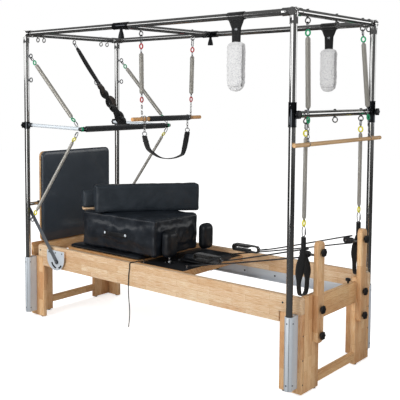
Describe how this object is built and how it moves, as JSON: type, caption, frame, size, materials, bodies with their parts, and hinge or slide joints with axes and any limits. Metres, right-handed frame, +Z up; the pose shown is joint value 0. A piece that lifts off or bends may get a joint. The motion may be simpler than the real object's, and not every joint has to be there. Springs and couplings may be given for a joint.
{
  "type": "pilates trapeze table with reformer",
  "caption": "Exercise table with a sliding padded carriage on wood rails under a chromed tube frame with spring bars, loops, a trapeze and a jump board",
  "frame": {"origin": "on the floor, at the centre of the whole length and width", "axes": "+X towards the head end with the rope pulleys, +Z up, the footbar knob's near long side at -Y"},
  "size_m": [2.402, 1.06, 2.154],
  "materials": {
    "wood": "satin lacquered maple",
    "chrome": "bright chrome",
    "silver": "satin anodised",
    "black": "matt",
    "leather": "glossy coated leatherette",
    "fleece": "fleece",
    "webbing": "woven",
    "rope": "braided",
    "grey_webbing": "woven",
    "spring_steel": "plated"
  },
  "bodies": {
    "frame": {"rail_front": "wood", "leg_head_front": "wood", "leg_foot_front": "wood", "post_head_front": "chrome", "post_foot_front": "chrome", "beam_front": "chrome", "riser_front": "wood", "footbar_plate_front": "silver", "rail_back": "wood", "leg_head_back": "wood", "leg_foot_back": "wood", "post_head_back": "chrome", "post_foot_back": "chrome", "beam_back": "chrome", "riser_back": "wood", "footbar_plate_back": "silver", "end_board_head": "wood", "end_board_foot": "wood", "stretcher_head": "wood", "stretcher_foot": "wood", "jump_board_back": "wood", "beam_head": "chrome", "beam_foot": "chrome", "jump_board_pad": "leather"},
    "carriage": {"carriage_deck": "wood", "carriage_pad": "leather", "shoulder_rest_front": "leather", "shoulder_rest_back": "leather", "sitting_box": "leather", "long_block": "leather", "rope_front": "rope", "rope_back": "rope", "hand_loop_front": "grey_webbing", "hand_loop_back": "webbing", "rope_tail": "rope"},
    "headrest_body": {"headrest": "leather"},
    "wheels_foot": {"wheel_pair_foot": "black"},
    "wheels_head": {"wheel_pair_head": "black"},
    "pulley_front": {"sheave_front": "black"},
    "pulley_back": {"sheave_back": "black"},
    "footbar_body": {"footbar": "chrome"},
    "push_bar_body": {"push_bar": "chrome", "push_spring_upper_front": "spring_steel", "push_spring_upper_back": "spring_steel", "push_spring_lower_front": "spring_steel", "push_spring_lower_back": "spring_steel", "safety_strap": "webbing"},
    "trapeze_crossbar_body": {"trapeze_crossbar": "chrome"},
    "trapeze_body": {"trapeze_spring_front": "spring_steel", "trapeze_spring_back": "spring_steel", "trapeze_bar": "wood"},
    "sling_body": {"sling": "webbing"},
    "tower_crossbar_body": {"tower_crossbar": "chrome"},
    "loop_front": {"spring_loop_front": "webbing"},
    "loop_back": {"spring_loop_back": "webbing"},
    "roll_down": {"roll_spring_front": "spring_steel", "roll_spring_back": "spring_steel", "roll_down_bar": "wood"},
    "fleece_front": {"fleece_loop_front": "fleece"},
    "fleece_back": {"fleece_loop_back": "fleece"}
  },
  "joints": [
    {"name": "carriage_roll", "type": "slide", "parent": "frame", "child": "carriage", "axis": [1, 0, 0], "range_m": [0, 0.66], "deforming": ["rope_front", "rope_back"]},
    {"name": "headrest_tilt", "type": "hinge", "parent": "carriage", "child": "headrest_body", "pos_m": [0.052, 0, 0.561], "axis": [0, -1, 0], "range_deg": [0, 50]},
    {"name": "wheels_foot_turn", "type": "hinge", "parent": "carriage", "child": "wheels_foot", "pos_m": [-0.716, 0, 0.4153], "axis": [0, 1, 0], "continuous": true},
    {"name": "wheels_head_turn", "type": "hinge", "parent": "carriage", "child": "wheels_head", "pos_m": [-0.016, 0, 0.4153], "axis": [0, 1, 0], "continuous": true},
    {"name": "pulley_front_turn", "type": "hinge", "parent": "frame", "child": "pulley_front", "pos_m": [1.062, -0.268, 0.775], "axis": [0, 1, 0], "continuous": true},
    {"name": "pulley_back_turn", "type": "hinge", "parent": "frame", "child": "pulley_back", "pos_m": [1.062, 0.268, 0.775], "axis": [0, 1, 0], "continuous": true},
    {"name": "footbar_fold", "type": "hinge", "parent": "frame", "child": "footbar_body", "pos_m": [-0.854, 0, 0.458], "axis": [0, -1, 0], "range_deg": [0, 27]},
    {"name": "push_bar_swing", "type": "hinge", "parent": "frame", "child": "push_bar_body", "pos_m": [-1.137, 0, 1.455], "axis": [0, -1, 0], "range_deg": [0, 65], "deforming": ["push_spring_upper_front", "push_spring_upper_back", "push_spring_lower_front", "push_spring_lower_back", "safety_strap"]},
    {"name": "trapeze_travel", "type": "slide", "parent": "frame", "child": "trapeze_crossbar_body", "axis": [1, 0, 0], "range_m": [-0.05, 0.45]},
    {"name": "trapeze_swing", "type": "hinge", "parent": "trapeze_crossbar_body", "child": "trapeze_body", "pos_m": [-0.17, 0, 2.083], "axis": [0, 1, 0], "range_deg": [-30, 17]},
    {"name": "sling_swing", "type": "hinge", "parent": "trapeze_body", "child": "sling_body", "pos_m": [-0.17, 0, 1.517], "axis": [0, 1, 0], "range_deg": [-20, 20]},
    {"name": "tower_crossbar_height", "type": "slide", "parent": "frame", "child": "tower_crossbar_body", "axis": [0, 0, 1], "range_m": [-0.08, 0]},
    {"name": "loop_front_swing", "type": "hinge", "parent": "tower_crossbar_body", "child": "loop_front", "pos_m": [1.105, -0.337, 1.528], "axis": [0, 1, 0], "range_deg": [0, 20]},
    {"name": "loop_back_swing", "type": "hinge", "parent": "tower_crossbar_body", "child": "loop_back", "pos_m": [1.105, 0.337, 1.528], "axis": [0, 1, 0], "range_deg": [0, 20]},
    {"name": "roll_down_swing", "type": "hinge", "parent": "frame", "child": "roll_down", "pos_m": [1.105, 0, 2.083], "axis": [0, -1, 0], "range_deg": [0, 50]},
    {"name": "fleece_front_swing", "type": "hinge", "parent": "frame", "child": "fleece_front", "pos_m": [0.734, -0.485, 2.13], "axis": [-1, 0, 0], "range_deg": [-8, 50]},
    {"name": "fleece_back_swing", "type": "hinge", "parent": "frame", "child": "fleece_back", "pos_m": [0.799, 0.485, 2.13], "axis": [1, 0, 0], "range_deg": [-8, 50]}
  ],
  "couplings": [
    {"joint": "wheels_foot_turn", "follows": "carriage_roll", "rad_per_m": 45.455},
    {"joint": "wheels_head_turn", "follows": "carriage_roll", "rad_per_m": 45.455},
    {"joint": "pulley_front_turn", "follows": "carriage_roll", "rad_per_m": 48.781},
    {"joint": "pulley_back_turn", "follows": "carriage_roll", "rad_per_m": 48.781}
  ]
}
